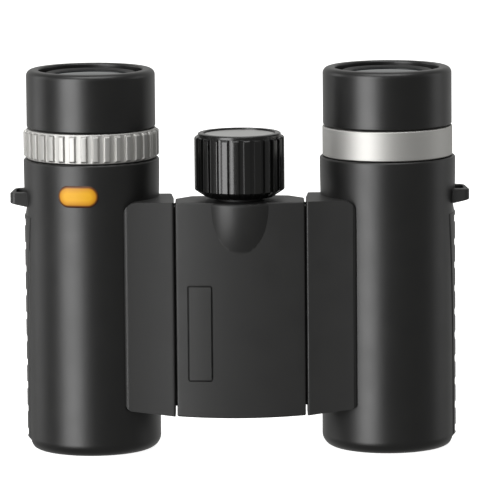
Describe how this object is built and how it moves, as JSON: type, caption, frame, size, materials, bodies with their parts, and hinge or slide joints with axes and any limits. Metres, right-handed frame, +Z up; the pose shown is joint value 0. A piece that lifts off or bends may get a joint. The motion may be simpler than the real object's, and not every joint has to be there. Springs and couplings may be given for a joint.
{
  "type": "pocket binoculars",
  "caption": "Compact roof-prism binoculars: two rubber-armoured barrels folding on a central bridge, with a fluted focus wheel, a diopter ring and twist-up eyecups.",
  "frame": {"origin": "on the surface the objective rims stand on, under the middle of the whole object", "axes": "+Z up towards the eyecups, +X towards the right barrel as seen from the front of the bridge, front of the bridge towards -Y"},
  "size_m": [0.1148, 0.0375, 0.0956],
  "materials": {
    "body_plastic": "satin",
    "plate_black": "matte",
    "inner_plastic": "matte",
    "armour_rubber": "matte",
    "eyecup_rubber": "satin",
    "wheel_rubber": "gloss",
    "satin_silver": "satin",
    "disc_grey": "satin",
    "cast_alloy": "matte",
    "steel": "satin",
    "brass": "satin",
    "coated_glass": "gloss",
    "badge_amber": "gloss"
  },
  "bodies": {
    "bridge": {"bridge_housing": "body_plastic", "bridge_back_cover": "body_plastic", "back_cover_screws": "steel", "name_plate": "plate_black", "shaft_bush": "steel", "guide_rods": "steel", "left_hinge_pins": "steel", "right_hinge_pins": "steel", "hinge_pin_plugs": "body_plastic"},
    "focus_wheel": {"focus_hub": "inner_plastic", "focus_grip": "wheel_rubber", "focus_cap_disc": "disc_grey", "focus_screw": "steel", "focus_hub_screw": "steel", "shaft_circlip": "steel"},
    "focus_carriage": {"focus_carriage": "cast_alloy", "carriage_nut": "brass"},
    "left_barrel": {"left_barrel_housing": "body_plastic", "left_armour": "armour_rubber", "left_side_grip": "armour_rubber", "left_strap_lug": "body_plastic", "left_objective_cell": "inner_plastic", "left_objective_lens": "coated_glass", "left_objective_ring": "inner_plastic", "left_prism_holder": "inner_plastic", "left_prisms": "coated_glass", "left_eyepiece_tube": "inner_plastic", "left_badge": "badge_amber"},
    "left_focus_cell": {"left_focus_cell": "cast_alloy", "left_focus_lens": "coated_glass"},
    "left_diopter_ring": {"left_diopter_ring": "satin_silver"},
    "left_ocular": {"left_ocular_cell": "inner_plastic", "left_ocular_lenses": "coated_glass"},
    "left_eyecup_cam": {"left_eyecup_cam": "inner_plastic"},
    "left_eyecup": {"left_eyecup_sleeve": "inner_plastic", "left_eyecup_rubber": "eyecup_rubber"},
    "right_barrel": {"right_barrel_housing": "body_plastic", "right_armour": "armour_rubber", "right_side_grip": "armour_rubber", "right_strap_lug": "body_plastic", "right_objective_cell": "inner_plastic", "right_objective_lens": "coated_glass", "right_objective_ring": "inner_plastic", "right_prism_holder": "inner_plastic", "right_prisms": "coated_glass", "right_eyepiece_tube": "inner_plastic", "right_trim_ring": "satin_silver", "right_ocular_cell": "inner_plastic", "right_ocular_lenses": "coated_glass"},
    "right_focus_cell": {"right_focus_cell": "cast_alloy", "right_focus_lens": "coated_glass"},
    "right_eyecup_cam": {"right_eyecup_cam": "inner_plastic"},
    "right_eyecup": {"right_eyecup_sleeve": "inner_plastic", "right_eyecup_rubber": "eyecup_rubber"}
  },
  "joints": [
    {"name": "focus_turn", "type": "hinge", "parent": "bridge", "child": "focus_wheel", "pos_m": [0, -0.00745, 0.07], "axis": [0, 0, 1], "range_deg": [-225, 225]},
    {"name": "carriage_slide", "type": "slide", "parent": "bridge", "child": "focus_carriage", "axis": [0, 0, 1], "range_m": [-0.0015, 0.0015]},
    {"name": "left_fold", "type": "hinge", "parent": "bridge", "child": "left_barrel", "pos_m": [-0.0162, -0.00555, 0.0373], "axis": [0, 0, -1], "range_deg": [0, 40]},
    {"name": "left_focus_slide", "type": "slide", "parent": "left_barrel", "child": "left_focus_cell", "axis": [0, 0, 1], "range_m": [-0.0015, 0.0015]},
    {"name": "diopter_turn", "type": "hinge", "parent": "left_barrel", "child": "left_diopter_ring", "pos_m": [-0.037, 0.00195, 0.077], "axis": [0, 0, 1], "range_deg": [-60, 60]},
    {"name": "diopter_slide", "type": "slide", "parent": "left_barrel", "child": "left_ocular", "axis": [0, 0, 1], "range_m": [-0.0008, 0.0008]},
    {"name": "left_eyecup_turn", "type": "hinge", "parent": "left_barrel", "child": "left_eyecup_cam", "pos_m": [-0.037, 0.00195, 0.086], "axis": [0, 0, 1], "range_deg": [0, 180]},
    {"name": "left_eyecup_lift", "type": "slide", "parent": "left_eyecup_cam", "child": "left_eyecup", "axis": [0, 0, 1], "range_m": [0, 0.007]},
    {"name": "right_fold", "type": "hinge", "parent": "bridge", "child": "right_barrel", "pos_m": [0.0162, -0.00555, 0.0373], "axis": [0, 0, 1], "range_deg": [0, 40]},
    {"name": "right_focus_slide", "type": "slide", "parent": "right_barrel", "child": "right_focus_cell", "axis": [0, 0, 1], "range_m": [-0.0015, 0.0015]},
    {"name": "right_eyecup_turn", "type": "hinge", "parent": "right_barrel", "child": "right_eyecup_cam", "pos_m": [0.037, 0.00195, 0.086], "axis": [0, 0, 1], "range_deg": [0, 180]},
    {"name": "right_eyecup_lift", "type": "slide", "parent": "right_eyecup_cam", "child": "right_eyecup", "axis": [0, 0, 1], "range_m": [0, 0.007]}
  ],
  "couplings": [
    {"joint": "carriage_slide", "follows": "focus_turn", "m_per_rad": 0.00038197},
    {"joint": "left_focus_slide", "follows": "focus_turn", "m_per_rad": 0.00038197},
    {"joint": "diopter_slide", "follows": "diopter_turn", "m_per_rad": 0.00076394},
    {"joint": "left_eyecup_lift", "follows": "left_eyecup_turn", "m_per_rad": 0.0022282},
    {"joint": "right_focus_slide", "follows": "focus_turn", "m_per_rad": 0.00038197},
    {"joint": "right_eyecup_lift", "follows": "right_eyecup_turn", "m_per_rad": 0.0022282}
  ]
}
